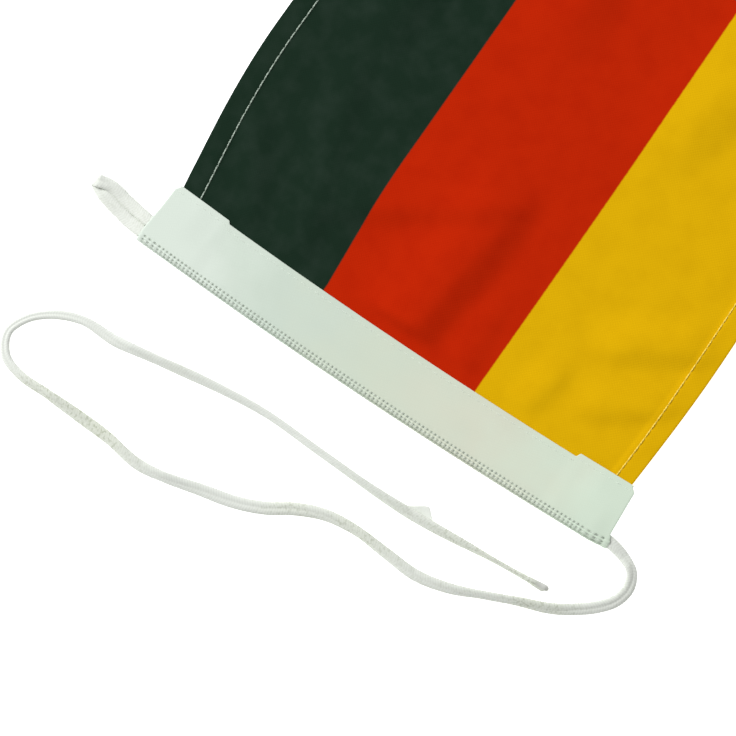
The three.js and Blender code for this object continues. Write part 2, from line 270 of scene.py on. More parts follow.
def closed_sheet(low, high):
    """The points and faces of a closed sheet between two grids of points."""
    rows, columns = low.shape[:2]
    points = np.concatenate([low.reshape(-1, 3), high.reshape(-1, 3)])
    index = np.arange(rows * columns).reshape(rows, columns)
    a, b, c, d = index[:-1, :-1], index[1:, :-1], index[1:, 1:], index[:-1, 1:]
    under = np.stack([a, d, c, b], axis=-1).reshape(-1, 4)
    upper = np.stack([a, b, c, d], axis=-1).reshape(-1, 4) + rows * columns
    rim = np.concatenate([index[:-1, 0], index[-1, :-1], index[:0:-1, -1], index[0, :0:-1]])
    ahead = np.roll(rim, -1)
    walls = np.stack([rim, ahead, ahead + rows * columns, rim + rows * columns], axis=-1)
    return points, np.concatenate([under, upper, walls]).tolist()


def braid(name, centres, lengths, roll, size, relief, fold_at=None):
    """The braid along its ring centres. roll is each ring's turn, size its share of the full section,
    as (rings, 2) for width and thickness, and relief the share of the strands' full relief. At the
    length fold_at it is folded flat over itself, with the crease across it."""
    groove = math.acos(-RIB_CENTRE / RIB_HALF_WIDTH)
    turn = np.linspace(groove, -groove, RIB_STEPS + 1)[:-1]
    turn = np.concatenate([turn, -turn])
    side = np.repeat([1, -1], RIB_STEPS)
    strand = (lengths[:, None] - STRAND_SLANT * (groove - turn)) / STRAND_PITCH
    crown = 1 - np.abs(2 * (strand % 1) - 1) ** STRAND_CROWN
    raised = STRAND_RELIEF * relief[:, None] * (crown - 0.5)
    across = side * (RIB_CENTRE + (RIB_HALF_WIDTH + raised) * np.cos(turn)) * size[:, :1]
    height = (RIB_HALF_HEIGHT + raised) * np.sin(turn) * size[:, 1:]
    ahead = np.gradient(centres, axis=0)
    ahead /= np.linalg.norm(ahead, axis=1, keepdims=True)
    right = np.stack([ahead[:, 1], -ahead[:, 0], np.zeros(len(ahead))], axis=1)
    if fold_at is not None:
        right[lengths > fold_at] *= -1
        clear = np.abs(lengths - fold_at) > FOLD_REACH
        right = [np.interp(lengths, lengths[clear], part[clear]) for part in right.T]
        right = np.stack(right, axis=1)
    right /= np.linalg.norm(right, axis=1, keepdims=True)
    up = np.cross(right, ahead)
    up /= np.linalg.norm(up, axis=1, keepdims=True)
    cos, sin = np.cos(roll)[:, None], np.sin(roll)[:, None]
    lying = (across * cos - height * sin)[..., None] * right[:, None, :]
    standing = (across * sin + height * cos)[..., None] * up[:, None, :]
    points = centres[:, None, :] + lying + standing
    places = np.stack([strand, np.broadcast_to(lengths[:, None], strand.shape)], axis=-1)
    faces = tube_faces(len(centres), 2 * RIB_STEPS)
    return add_mesh(name, points.reshape(-1, 3), faces, places.reshape(-1, 2))


def half_rise(roll, size):
    """Half of the height of the rolled section."""
    width = RIB_HALF_WIDTH * size[:, 0] * np.sin(roll)
    thickness = RIB_HALF_HEIGHT * size[:, 1] * np.cos(roll)
    return RIB_CENTRE * size[:, 0] * np.abs(np.sin(roll)) + np.hypot(width, thickness)


def fabric(name, roughness, specular, sheen):
    """A new material: it, its node tree and its surface."""
    material = bpy.data.materials.new(name)
    material.use_nodes = True
    surface = material.node_tree.nodes["Principled BSDF"]
    surface.inputs["Roughness"].default_value = roughness
    surface.inputs["Specular IOR Level"].default_value = specular
    surface.inputs["Sheen Weight"].default_value = sheen
    return material, material.node_tree, surface


def put(tree, value, socket):
    """Sets a socket to a number or a colour, or links it to another node's output."""
    if isinstance(value, bpy.types.NodeSocket):
        tree.links.new(value, socket)
    else:
        socket.default_value = value


def own_places(tree):
    """The piece's UV map, and its two parts."""
    places = tree.nodes.new("ShaderNodeUVMap")
    places.uv_map = "places"
    split = tree.nodes.new("ShaderNodeSeparateXYZ")
    put(tree, places.outputs["UV"], split.inputs["Vector"])
    return places.outputs["UV"], split.outputs["X"], split.outputs["Y"]


def worked_out(tree, operation, *values):
    node = tree.nodes.new("ShaderNodeMath")
    node.operation = operation
    for value, socket in zip(values, node.inputs):
        put(tree, value, socket)
    return node.outputs[0]


def ramp(tree, value, start, end, first=0.0, last=1.0, way="SMOOTHSTEP"):
    node = tree.nodes.new("ShaderNodeMapRange")
    node.interpolation_type = way
    named = {"Value": value, "From Min": start, "From Max": end, "To Min": first, "To Max": last}
    for socket, number in named.items():
        put(tree, number, node.inputs[socket])
    return node.outputs["Result"]


def mottle(tree, places, scale, detail):
    """Smooth random values round 0.5."""
    node = tree.nodes.new("ShaderNodeTexNoise")
    named = {"Vector": places, "Scale": scale, "Detail": detail}
    for socket, value in named.items():
        put(tree, value, node.inputs[socket])
    return node.outputs["Fac"]


def tones(tree, value, stops):
    """The colour at a value, between stops of (value, colour)."""
    node = tree.nodes.new("ShaderNodeValToRGB")
    elements = node.color_ramp.elements
    for k, (position, colour) in enumerate(stops):
        stop = elements[k] if k < 2 else elements.new(position)
        stop.position = position
        stop.color = (*colour, 1)
    put(tree, value, node.inputs["Fac"])
    return node.outputs["Color"]


def mixed(tree, share, first, second, way="MIX"):
    node = tree.nodes.new("ShaderNodeMix")
    node.data_type = "RGBA"
    node.blend_type = way
    for socket, value in {"Factor": share, "A": first, "B": second}.items():
        put(tree, value, node.inputs[socket])
    return node.outputs["Result"]


def raise_bumps(tree, surface, height, strength, distance):
    node = tree.nodes.new("ShaderNodeBump")
    named = {"Height": height, "Strength": strength, "Distance": distance}
    for socket, value in named.items():
        put(tree, value, node.inputs[socket])
    put(tree, node.outputs["Normal"], surface.inputs["Normal"])


def braid_cloth(name, soiled, seal_at=None):
    """White polyester yarn, with the fine filaments of each strand as bump. soiled is a list like
    TAIL_SOIL. Past seal_at it is melted."""
    material, tree, yarn = fabric(name, roughness=0.7, specular=0.2, sheen=0.1)
    strand, along = own_places(tree)[1:]
    where = tree.nodes.new("ShaderNodeTexCoord").outputs["Object"]
    filaments = worked_out(tree, "MULTIPLY", strand, 2 * math.pi * FILAMENTS)
    wave = worked_out(tree, "SINE", filaments)
    raise_bumps(tree, yarn, wave, strength=0.35, distance=0.00003)

    # painted shade: darker in the valleys between the strands
    valley_shade = worked_out(tree, "PINGPONG", strand, 0.5)
    colour = tones(tree, valley_shade, [(0.0, (0.725, 0.750, 0.700)), (0.28, (0.785, 0.815, 0.765))])

    # soiled in patches, with dark pits in the worst of them
    patches = ramp(tree, mottle(tree, where, 60, 3), 0.35, 0.7, 0.4, 1.0, "LINEAR")
    share_along = worked_out(tree, "DIVIDE", along, SOIL_REACH)
    varied_tone = tones(tree, share_along, [(at / SOIL_REACH, (share,) * 3) for at, share in soiled])
    dirt = worked_out(tree, "MULTIPLY", varied_tone, patches)
    colour = mixed(tree, dirt, colour, (0.89, 0.90, 0.82, 1), "MULTIPLY")
    pits = ramp(tree, mottle(tree, where, 900, 1), 0.5, 0.68)
    dark = worked_out(tree, "MULTIPLY", pits, dirt)
    colour = mixed(tree, dark, colour, (0.66, 0.68, 0.60, 1), "MULTIPLY")
    if seal_at is not None:
        melted = ramp(tree, along, seal_at - SEALED_END, seal_at - SEALED_END / 3)
        colour = mixed(tree, melted, colour, (0.64, 0.65, 0.61, 1))
    put(tree, colour, yarn.inputs["Base Color"])
    return material


tail_curve = smooth_curve(TAIL_ROUTE)
tail_length = length_along(tail_curve)[-1]
end_turns = np.linspace(0, END_TURN, END_RINGS)
tail_lengths = np.concatenate(
    [
        np.arange(0, tail_length - END_ROUNDING, RING_STEP),
        tail_length - END_ROUNDING * (1 - np.sin(end_turns)),
    ]
)
tail_centres = points_at(tail_curve, tail_lengths)
roll_at, roll_degrees = np.array(TAIL_ROLL).T
tail_roll = np.radians(np.interp(tail_lengths, roll_at, roll_degrees))
sealed = smoothstep(tail_lengths, tail_length - SEALED_END, tail_length - SEALED_END / 3)
wide = np.interp(tail_lengths, *np.array(TAIL_WIDTH).T) - SEALED_NARROWER * sealed
thick = np.interp(tail_lengths, *np.array(TAIL_THICKNESS).T) + SEALED_THICKER * sealed
tail_size = np.stack([wide, thick], axis=1)
tail_size[-END_RINGS:] *= np.cos(end_turns)[:, None] ** END_BLUNTNESS
tail_rise = half_rise(tail_roll, tail_size) + STRAND_RELIEF / 2
tail_centres[:, 2] = np.maximum(tail_centres[:, 2], tail_rise)
tail_relief = 1 - SEALED_SMOOTHER * sealed
tail = braid("tail", tail_centres, tail_lengths, tail_roll, tail_size, tail_relief)
tail.data.materials.append(braid_cloth("tail_yarn", TAIL_SOIL, tail_length))

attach(tail, "root")
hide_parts("tail_cord")

# The turned-over corner
# Near the sealed tip a corner of the flattened braid is turned over and pressed flat. It stands out
# beside the cord as a small smooth flap of the same yarn.
FLAP_EDGE = -0.0518  # the side of the braid there
FLAP_ENDS = (-0.0477, -0.0366)
# How far the flap stands out, by share of the way along its base from the sealed tip's side.
FLAP_REACH = [
    (0.00, 0.0002), (0.05, 0.0004), (0.37, 0.0038), (0.44, 0.0040), (0.55, 0.0035),
    (0.70, 0.0024), (0.85, 0.0011), (1.00, 0.0002),
]
FLAP_BEDDED = 0.0014  # inside the braid
FLAP_THICKNESS = 0.0007
FLAP_HEIGHTS = (0.0011, 0.0015)  # of its middle, inside the braid and at its edge
FLAP_CURL = 1.4  # the larger, the later it bends up on its way out
FLAP_RIM = (12, 8)  # the larger, the closer to its rim it gets thin, along its base and outwards
FLAP_RIM_THINNER = 0.95
FLAP_STEPS = (33, 13)

flap_share, flap_out = np.meshgrid(*(np.linspace(0, 1, steps) for steps in FLAP_STEPS))
flap_reach = np.interp(flap_share, *np.array(FLAP_REACH).T)
flap_x = FLAP_EDGE - FLAP_BEDDED + (FLAP_BEDDED + flap_reach) * flap_out
flap_y = FLAP_ENDS[0] + (FLAP_ENDS[1] - FLAP_ENDS[0]) * flap_share
flap_z = FLAP_HEIGHTS[0] + (FLAP_HEIGHTS[1] - FLAP_HEIGHTS[0]) * flap_out**FLAP_CURL
flap_rim = np.maximum(np.abs(2 * flap_share - 1) ** FLAP_RIM[0], flap_out**FLAP_RIM[1])
flap_half = FLAP_THICKNESS / 2 * np.sqrt(1 - FLAP_RIM_THINNER * flap_rim)
flap_points, flap_quads = closed_sheet(
    np.stack([flap_x, flap_y, flap_z - flap_half], axis=-1),
    np.stack([flap_x, flap_y, flap_z + flap_half], axis=-1),
)
flap = add_mesh("flap", flap_points, flap_quads, np.tile([0.5, 0.0], (len(flap_points), 1)))
flap.data.materials.append(tail.data.materials[0])

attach(flap, "root")

# The sewn part of the hoist cord
# The same braid before it leaves the heading. It runs along inside the fold of the tape, held there by
# two rows of stitches, makes a loop at the black corner and tucks in again beside itself. At the tip
# of the loop it is folded flat over itself.
HALF_HOIST = 0.1
BOW = 0.0022
FOLD_END = -0.026
FOLD_LEAN = -0.0007
RUN_INSET = 0.0035
RUN_HEIGHT = 0.0023
RUN_START = -0.1014
RUN_END = 0.098  # after this the loop's strands show
RUN_POINTS = 17
RUN_STEP = 0.001
LOOP_TIP = (0.1215, 0.1255)  # the braid is pressed thinner between these places along the hoist
PRESSED = 0.2
LOOSE_WIDTH = 1.15  # the braid spreads a little in the loop
LOOSENS_OVER = 0.004
LOOP_SOIL = [(0.002, 0.18), (0.240, 0.18)]
LOOP_ROLL = math.radians(9)  # where the second strand leaves the first
ROLLS_UP = (0.001, 0.003)  # past the crease
ROLLS_DOWN = (0.0045, 0.0085)
LOOP_ROUTE = [
    (-0.0230, 0.1026, 0.0023),
    (-0.0223, 0.1090, 0.0014),
    (-0.0212, 0.1143, 0.0010),
    (-0.0203, 0.1188, 0.0009),
    (-0.0189, 0.1236, 0.0008),
    (-0.0171, 0.1268, 0.0008),
    (-0.0164, 0.1278, 0.0016),
    (-0.0161, 0.1268, 0.0023),
    (-0.0154, 0.1245, 0.0020),
    (-0.0151, 0.1222, 0.0016),
    (-0.0154, 0.1188, 0.0013),
    (-0.0161, 0.1154, 0.0011),
    (-0.0172, 0.1092, 0.0015),
    (-0.0181, 0.1030, 0.0023),
    (-0.0184, 0.0980, 0.0023),
    (-0.0184, 0.0890, 0.0023),
]


def outer_fold(y):
    """The outermost line of the heading's fold, which is bowed and leans a little."""
    return FOLD_END + FOLD_LEAN * y / HALF_HOIST - BOW * (1 - (y / HALF_HOIST) ** 2)


run_y = np.linspace(RUN_START, HALF_HOIST, RUN_POINTS)
run_z = np.full(RUN_POINTS, RUN_HEIGHT)
run_route = np.stack([outer_fold(run_y) + RUN_INSET, run_y, run_z], axis=1)
hoist_curve = smooth_curve(np.vstack([run_route, LOOP_ROUTE]))
hoist_length = length_along(hoist_curve)[-1]
hidden_length = length_along(hoist_curve)[np.argmax(hoist_curve[:, 1] > RUN_END)]
hoist_lengths = np.concatenate(
    [np.arange(0, hidden_length, RUN_STEP), np.arange(hidden_length, hoist_length, RING_STEP)]
)
hoist_centres = points_at(hoist_curve, hoist_lengths)
fold_length = hoist_lengths[np.argmax(hoist_centres[:, 1])]
past_fold = hoist_lengths - fold_length
rolled = smoothstep(past_fold, *ROLLS_UP) * (1 - smoothstep(past_fold, *ROLLS_DOWN))
hoist_roll = LOOP_ROLL * rolled
hoist_size = np.ones((len(hoist_lengths), 2))
loose = smoothstep(hoist_centres[:, 1], HALF_HOIST, HALF_HOIST + LOOSENS_OVER)
hoist_size[:, 0] += (LOOSE_WIDTH - 1) * loose
hoist_size[:, 1] -= PRESSED * smoothstep(hoist_centres[:, 1], *LOOP_TIP)
hoist_rise = half_rise(hoist_roll, hoist_size) + STRAND_RELIEF / 2
hoist_centres[:, 2] = np.maximum(hoist_centres[:, 2], hoist_rise)
hoist_relief = smoothstep(hoist_lengths, hidden_length, hidden_length + 2 * STRAND_PITCH)
hoist_cord = braid(
    "sewn_cord", hoist_centres, hoist_lengths, hoist_roll, hoist_size, hoist_relief, fold_length
)
hoist_cord.data.materials.append(braid_cloth("hoist_yarn", LOOP_SOIL))

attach(hoist_cord, "root")
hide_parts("hoist_cord")

# The flag cloth
# One piece of light polyester with three stripes printed on it, without seams between them. The black,
# gold and fly edges are turned in and sewn down with a long lockstitch; the hoist edge is held, a
# little gathered, in the heading, so the stripes spread away from it and soft folds lie in the cloth.
CLOTH = 0.0005
HEM = 0.0009
HEM_WIDTH = 0.0083
HEM_STEP = 0.0028
ROUND_EDGE = 0.0004
EDGE_THINNER = 0.94  # share of the thickness
TUCK_EDGE = -0.014
HEADING_LIFT = 0.0007  # of the cloth inside the heading
LANDS = (0.001, 0.014)  # along the fly, where it comes down to the table
FOLDS_START = (0.001, 0.007)  # from the heading's edge
HOIST_WIDTH = 0.21
RED_STARTS = 0.0684  # across the cloth, from the gold edge
BLACK_STARTS = 0.14
# Lines along the fly: where each one starts at the heading, how far it spreads and over what way.
GOLD_EDGE = (-0.0996, -0.0028, 0.060)
RED_TO_GOLD = (-0.0331, -0.0011, 0.120)
BLACK_TO_RED = (0.0342, 0.0034, 0.060)
BLACK_EDGE = (0.0996, 0.0080, 0.075)
# Soft folds: the crest's two ends (x1, y1) and (x2, y2), the way over which it comes down on its left
# and on its right, and its rise. Past its ends a fold fades over a longer way.
RIDGE_FADE = 1.5
RIDGES = [
    (0.002, 0.000, 0.046, -0.0045, 0.028, 0.014, 0.0029),
    (0.005, -0.024, 0.020, -0.023, 0.012, 0.008, 0.0007),
    (0.032, 0.040, 0.055, 0.006, 0.030, 0.010, 0.0017),
    (0.043, -0.072, 0.052, -0.087, 0.016, 0.009, 0.0016),
    (0.018, -0.076, 0.028, -0.090, 0.014, 0.007, 0.0010),
    (0.002, -0.0515, 0.015, -0.054, 0.012, 0.007, 0.0009),
    (0.007, 0.074, 0.034, 0.090, 0.010, 0.009, 0.0007),
    (0.010, 0.052, 0.066, 0.070, 0.016, 0.010, 0.0009),
    (0.130, -0.046, 0.186, -0.058, 0.028, 0.017, 0.0018),
    (0.112, 0.074, 0.196, 0.084, 0.028, 0.018, 0.0022),
    (0.150, 0.018, 0.236, 0.030, 0.032, 0.020, 0.0024),
    (0.196, -0.044, 0.262, -0.034, 0.026, 0.016, 0.0019),
]
CRINKLE = 0.00012
CRINKLE_SIZE = (0.016, 0.009)  # along the fly and along the hoist
FINE_CRINKLE_SIZE = (0.005, 0.004)
# Hem stitches: each seam's inset at the heading and further out, and their length and spacing.
BLACK_SEAM = (0.0080, 0.0080)
GOLD_SEAM = (0.0066, 0.0078)
FLY_SEAM = 0.0078
SEAM_STARTS = 0.0006  # inside the heading, or past the seam that it meets
FLY_SEAM_ENDS = 0.011
SEAM_RUN = 0.06
STITCH = 0.0036
STITCH_PITCH = 0.0037
THREAD = 0.00033  # half the thickness of the sewing thread
THREAD_SIDES = 6
THREAD_ARCH = 0.6  # how high a stitch stands, by its half thickness
THREAD_TAPER = 0.6  # how much thinner its sunk ends are
UNDER_THREAD = -0.00005  # threads under the flag are pressed flat
PLY = (0.56, 0.46)  # thickness and distance from the thread's middle, by its half thickness
SEAM_PULL = 0.00016  # how deep the thread draws the cloth in
PULL_REACH = 0.0008
HOLE_DEEPER = 0.4  # share of the pull that is only at the needle's holes
FLY_PULL = 0.8
PLY_TURNS = 1.6  # turns of the two plies in one stitch
HEM_SUNK = 0.3  # how far the ends of a hem stitch go in, by its half thickness
# The weave and the print: the spacing of the threads, and how soft and how ragged the lines between
# two colours are.
WEAVE = 0.00064
LINE_SOFTNESS = 0.0003
LINE_RAGGED = 0.00015
# Each printed colour, full and in patches: uneven print with a painted sheen in the black, painted
# shade in gold and red.
PRINTS = {
    "gold": ((0.715, 0.415, 0.0020, 1), (0.680, 0.390, 0.0017, 1)),
    "red": ((0.495, 0.0178, 0.0014, 1), (0.465, 0.0155, 0.0012, 1)),
    "black": ((0.0105, 0.0250, 0.0150, 1), (0.0165, 0.0320, 0.0215, 1)),
}
# The cloth's grid: close-set lines at its cut edges, then over the hems, then wide apart.
EDGE_STEPS = np.array([0, 0.00006, 0.0002, 0.0004])
HEM_GRID = np.concatenate([EDGE_STEPS, np.arange(0.0011, 0.0108, 0.00055)])
OPEN_FROM = 0.0112
OPEN_LINES = (92, 226)  # across the cloth and along it
TUCKED_TO = -0.003  # along the fly: up to here few lines are needed
OPEN_STARTS = -0.0022


def line_y(line, x):
    at, spread, run = line
    return at + spread * np.sin(np.pi / 2 * np.clip(x / run, 0, 1))


def hoist_y(x, across):
    """The place along the hoist of the cloth's own place across its width."""
    lines = (GOLD_EDGE, RED_TO_GOLD, BLACK_TO_RED, BLACK_EDGE)
    widths = (0, RED_STARTS, BLACK_STARTS, HOIST_WIDTH)
    y = line_y(lines[0], x)
    for k in range(3):
        share = np.clip((across - widths[k]) / (widths[k + 1] - widths[k]), 0, 1)
        y = y + share * (line_y(lines[k + 1], x) - line_y(lines[k], x))
    return y


def rolling(x, y, reach, seed):
    """Smooth random heights from -1 to 1, about reach = (x, y) apart."""
    places = zip((x / reach[0]).ravel().tolist(), (y / reach[1]).ravel().tolist())
    heights = [noise.noise(Vector((a, b, seed))) for a, b in places]
    return np.array(heights).reshape(x.shape)


def seam_inset(seam, x):
    return seam[0] + (seam[1] - seam[0]) * smoothstep(x, 0, SEAM_RUN)


def hem_inset(x, y):
    return np.minimum(np.minimum(line_y(BLACK_EDGE, x) - y, y - line_y(GOLD_EDGE, x)), FLY_EDGE - x)


def cloth_thickness(x, y):
    turned = 1 - smoothstep(hem_inset(x, y), HEM_WIDTH - HEM_STEP / 2, HEM_WIDTH + HEM_STEP / 2)
    return CLOTH + (HEM - CLOTH) * turned


def seam_pull(x, y):
    """How far the two faces are drawn together along the seams, deepest at the needle's holes."""
    black = line_y(BLACK_EDGE, x) - seam_inset(BLACK_SEAM, x) - y
    gold = y - line_y(GOLD_EDGE, x) - seam_inset(GOLD_SEAM, x)
    fly = FLY_EDGE - FLY_SEAM - x
    nearest = np.minimum(np.abs(black), np.abs(gold))
    holes = np.cos(2 * np.pi * (x + (STITCH_PITCH - STITCH) / 2) / STITCH_PITCH)
    holes = 1 - HOLE_DEEPER + HOLE_DEEPER * holes
    along = np.exp(-((nearest / PULL_REACH) ** 2)) * holes * (x < FLY_EDGE - FLY_SEAM)
    inside = (black > 0) & (gold > 0)
    down_fly = FLY_PULL * inside * np.exp(-((fly / PULL_REACH) ** 2))
    return SEAM_PULL * np.maximum(along, down_fly)


def cloth_underside(x, y):
    height = np.zeros_like(x)
    for x1, y1, x2, y2, left, right, rise in RIDGES:
        length = math.hypot(x2 - x1, y2 - y1)
        along = ((x - x1) * (x2 - x1) + (y - y1) * (y2 - y1)) / length
        across = ((y - y1) * (x2 - x1) - (x - x1) * (y2 - y1)) / length
        past = np.maximum(np.maximum(-along, along - length), 0)
        fade = RIDGE_FADE * (left + right) / 2
        reach = np.hypot(past / fade, across / np.where(across > 0, left, right))
        reach = np.clip(reach, 0, 1)
        height += rise * np.cos(np.pi / 2 * reach) ** 2
    height += CRINKLE * (rolling(x, y, CRINKLE_SIZE, 2.5) + 0.5)
    height += CRINKLE / 3 * (rolling(x, y, FINE_CRINKLE_SIZE, 7.5) + 0.5)
    bow = BOW * (1 - (y / HALF_HOIST) ** 2)
    height = np.maximum(height, 0) * smoothstep(x + bow, *FOLDS_START)
    return HEADING_LIFT * (1 - smoothstep(x, *LANDS)) + height


def cloth_faces(x, y):
    """The heights of the cloth's underside and top."""
    thickness = cloth_thickness(x, y)
    low = cloth_underside(x, y)
    edge = np.clip(1 - np.clip(hem_inset(x, y), 0, None) / ROUND_EDGE, 0, 1)
    thin = (1 - np.sqrt(1 - EDGE_THINNER * edge**2)) * thickness / 2
    pull = seam_pull(x, y)
    return low + thin + pull, low + thickness - thin - pull


def stitches(name, starts, ends, up, half, turns, sunk=0.9, rings=7):
    """Stitches of two-ply thread from places on the surface to others. up points away from it there,
    half is the thread's half thickness and turns how far its plies twist; without turns it is one
    round thread. sunk is how far its ends go in, by its half thickness."""
    along = ends - starts
    side = np.cross(along, up)
    side /= np.linalg.norm(side, axis=1, keepdims=True)
    share = np.linspace(0, 1, rings)
    bow = np.sin(np.pi * share) ** 0.5
    arch = (THREAD_ARCH + sunk) * bow - sunk
    middle = starts[:, None] + along[:, None] * share[:, None] + up[:, None] * (half * arch)[:, None]
    plies = 2 if turns else 1
    thick = half * (PLY[0] if turns else 1)
    thin = 1 - THREAD_TAPER * sunk * (1 - bow)
    around = np.arange(THREAD_SIDES) * 2 * np.pi / THREAD_SIDES
    points = []
    for ply in range(plies):
        twist = 2 * np.pi * turns * share + np.pi * ply
        apart = half * PLY[1] if turns else 0
        offset = side[:, None] * (np.cos(twist) * apart)[:, None]
        offset = offset + up[:, None] * (np.sin(twist) * apart)[:, None]
        ring = side[:, None, None] * (np.cos(around) * thick)[:, None]
        ring = ring + up[:, None, None] * (np.sin(around) * thick)[:, None]
        points.append((middle + offset)[:, :, None] + ring * thin[:, None, None])
    points = np.stack(points, axis=1).reshape(-1, 3)
    points[:, 2] = np.maximum(points[:, 2], UNDER_THREAD)
    faces = []
    for first in range(0, len(points), rings * THREAD_SIDES):
        faces += [[first + k for k in face] for face in tube_faces(rings, THREAD_SIDES)]
    return add_mesh(name, points, faces)


def scaled(tree, vector, by):
    node = tree.nodes.new("ShaderNodeVectorMath")
    node.operation = "SCALE"
    put(tree, vector, node.inputs[0])
    put(tree, by, node.inputs["Scale"])
    return node.outputs["Vector"]


def weave_height(tree, places, spacing):
    """The height of a plain weave, from -1 to 1, of threads this far apart."""
    wave = tree.nodes.new("ShaderNodeVectorMath")
    wave.operation = "SINE"
    put(tree, scaled(tree, places, math.pi / spacing), wave.inputs[0])
    parts = tree.nodes.new("ShaderNodeSeparateXYZ")
    put(tree, wave.outputs["Vector"], parts.inputs["Vector"])
    return worked_out(tree, "MULTIPLY", parts.outputs["X"], parts.outputs["Y"])


def printed_cloth():
    """Polyester in plain weave, printed in three colours that meet in slightly soft lines. Patches
    change
    each colour: uneven print, with a painted sheen paling the black and painted shade darkening the
    gold and red."""
    material, tree, cloth = fabric("printed_cloth", roughness=0.88, specular=0.02, sheen=0)
    places, _, across = own_places(tree)
    weave = weave_height(tree, places, WEAVE)
    ragged = ramp(tree, mottle(tree, places, 900, 2), 0, 1, -LINE_RAGGED, LINE_RAGGED, "LINEAR")
    across = worked_out(tree, "ADD", across, ragged)
    # patches of painted light with the print's own unevenness: painted sheen on the black, painted
    # shade on the gold and red
    painted_light_and_print_mottle = ramp(tree, mottle(tree, places, 105, 3), 0.42, 0.72, way="LINEAR")
    inks = {ink: mixed(tree, painted_light_and_print_mottle, full, varied_tone) for ink, (full, varied_tone) in PRINTS.items()}
    colour = inks["gold"]
    for ink, starts in (("red", RED_STARTS), ("black", BLACK_STARTS)):
        line = ramp(tree, across, starts - LINE_SOFTNESS, starts + LINE_SOFTNESS, way="LINEAR")
        colour = mixed(tree, line, colour, inks[ink])
    shade = ramp(tree, weave, -1, 1, 0.965, 1.03, "LINEAR")
    put(tree, scaled(tree, colour, shade), cloth.inputs["Base Color"])
    raise_bumps(tree, cloth, weave, strength=0.25, distance=0.00005)
    return material


def sewing_thread(name, colour):
    """Polyester thread, a little darker in places."""
    material, tree, thread = fabric(name, roughness=0.5, specular=0.5, sheen=0.1)
    where = tree.nodes.new("ShaderNodeTexCoord").outputs["Object"]
    darker = tuple(0.85 * part for part in colour)
    tone = tones(tree, mottle(tree, where, 900, 2), [(0.3, darker), (0.7, colour)])
    put(tree, tone, thread.inputs["Base Color"])
    return material


open_across = np.linspace(OPEN_FROM, HOIST_WIDTH - OPEN_FROM, OPEN_LINES[0])
cloth_across = np.concatenate([HEM_GRID, open_across, HOIST_WIDTH - HEM_GRID[::-1]])
tucked_in = np.linspace(TUCK_EDGE, TUCKED_TO, 4)
open_along = np.linspace(OPEN_STARTS, FLY_EDGE - OPEN_FROM, OPEN_LINES[1])
cloth_along = np.concatenate([tucked_in, open_along, FLY_EDGE - HEM_GRID[::-1]])
grid_x, grid_across = np.meshgrid(cloth_along, cloth_across, indexing="ij")
grid_y = hoist_y(grid_x, grid_across)
grid_low, grid_high = cloth_faces(grid_x, grid_y)
cloth_points, cloth_quads = closed_sheet(
    np.stack([grid_x, grid_y, grid_low], axis=-1), np.stack([grid_x, grid_y, grid_high], axis=-1)
)
cloth_places = np.stack([grid_x, grid_across], axis=-1).reshape(-1, 2)
cloth = add_mesh("cloth", cloth_points, cloth_quads, np.vstack([cloth_places, cloth_places]))
cloth.data.materials.append(printed_cloth())

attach(cloth, "root")
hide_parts("flag_cloth")

seam_x = np.arange(-SEAM_STARTS, FLY_EDGE - FLY_SEAM - STITCH, STITCH_PITCH)
fly_across = np.arange(BLACK_SEAM[0] + SEAM_STARTS, HOIST_WIDTH - FLY_SEAM_ENDS, STITCH_PITCH)
seams = []
for seam, line, sign in ((BLACK_SEAM, BLACK_EDGE, -1), (GOLD_SEAM, GOLD_EDGE, 1)):
    ends = []
    for x in (seam_x, seam_x + STITCH):
        ends.append((x, line_y(line, x) + sign * seam_inset(seam, x)))
    seams.append(ends)
fly_x = np.full(len(fly_across), FLY_EDGE - FLY_SEAM)
seams.append([(fly_x, hoist_y(fly_x, fly_across + step)) for step in (0, STITCH)])

white_thread = sewing_thread("white_thread", (0.43, 0.53, 0.44))
yellow_thread = sewing_thread("yellow_thread", (0.97, 0.72, 0.09))
for name, ends, thread in zip(
    ("black_hem", "gold_hem", "fly_hem"), seams, (white_thread, yellow_thread, white_thread)
):
    for face, way in enumerate((-1, 1)):
        on_face = [np.stack([x, y, cloth_faces(x, y)[face]], axis=1) for x, y in ends]
        up = np.tile([0.0, 0.0, way], (len(on_face[0]), 1))
        sewn = stitches(f"{name}_stitches_{face}", *on_face, up, THREAD, PLY_TURNS, HEM_SUNK)
        sewn.data.materials.append(thread)
        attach(sewn, "root")

# The heading
# A white woven tape, folded lengthwise over the hoist edge of the cloth, with its ends turned in. Two
# rows of small stitches hold the cord in the fold, and one row near the other edge holds the cloth.
TAPE = 0.0005
TURNED_TAPE = 0.0002  # what the turned-in end adds
TURNED_FROM = 0.0775
TURNED_STEP = 0.0006
FLAG_SIDE_END = -0.00135
TURNED_OUT = (0.0018, 0.0011)  # how far the turned-in end stands out, at the gold and the black end
END_NEAR = (0.0019, 0.0015)  # how far the slanted ends reach past the hoist, at the edge on the cloth
END_FAR = (0.0032, 0.0023)  # and at the fold
CORNER_CUT = (-0.0014, 0.0004)
END_TAPER = 0.0004
MOUTH_OUT = 0.0013  # how far the gold end stands out round the cord
MOUTH_FROM = (0.0190, 0.0225)  # towards the fold, where that starts and is reached
SLANT_STARTS = 0.093
LOWER_SHORT = 0.0006
FOLD_RADIUS = 0.0021
WAVE = 0.00015  # the upper layer isn't quite even
WAVE_SIZE = (0.012, 0.016)
WAVES_FROM = (0.004, 0.010)  # from the fold
PINCHED = (0.0945, 0.1)  # along the hoist, where the gold end is drawn in round the cord
PINCH_IN = 0.0007
PINCH_DOWN = 0.0005
TURNED_RISE = (0.074, 0.081)  # along the hoist, where the tape rises over its turned-in end
HEM_RISE = (0.0800, 0.0912)  # and over the hems
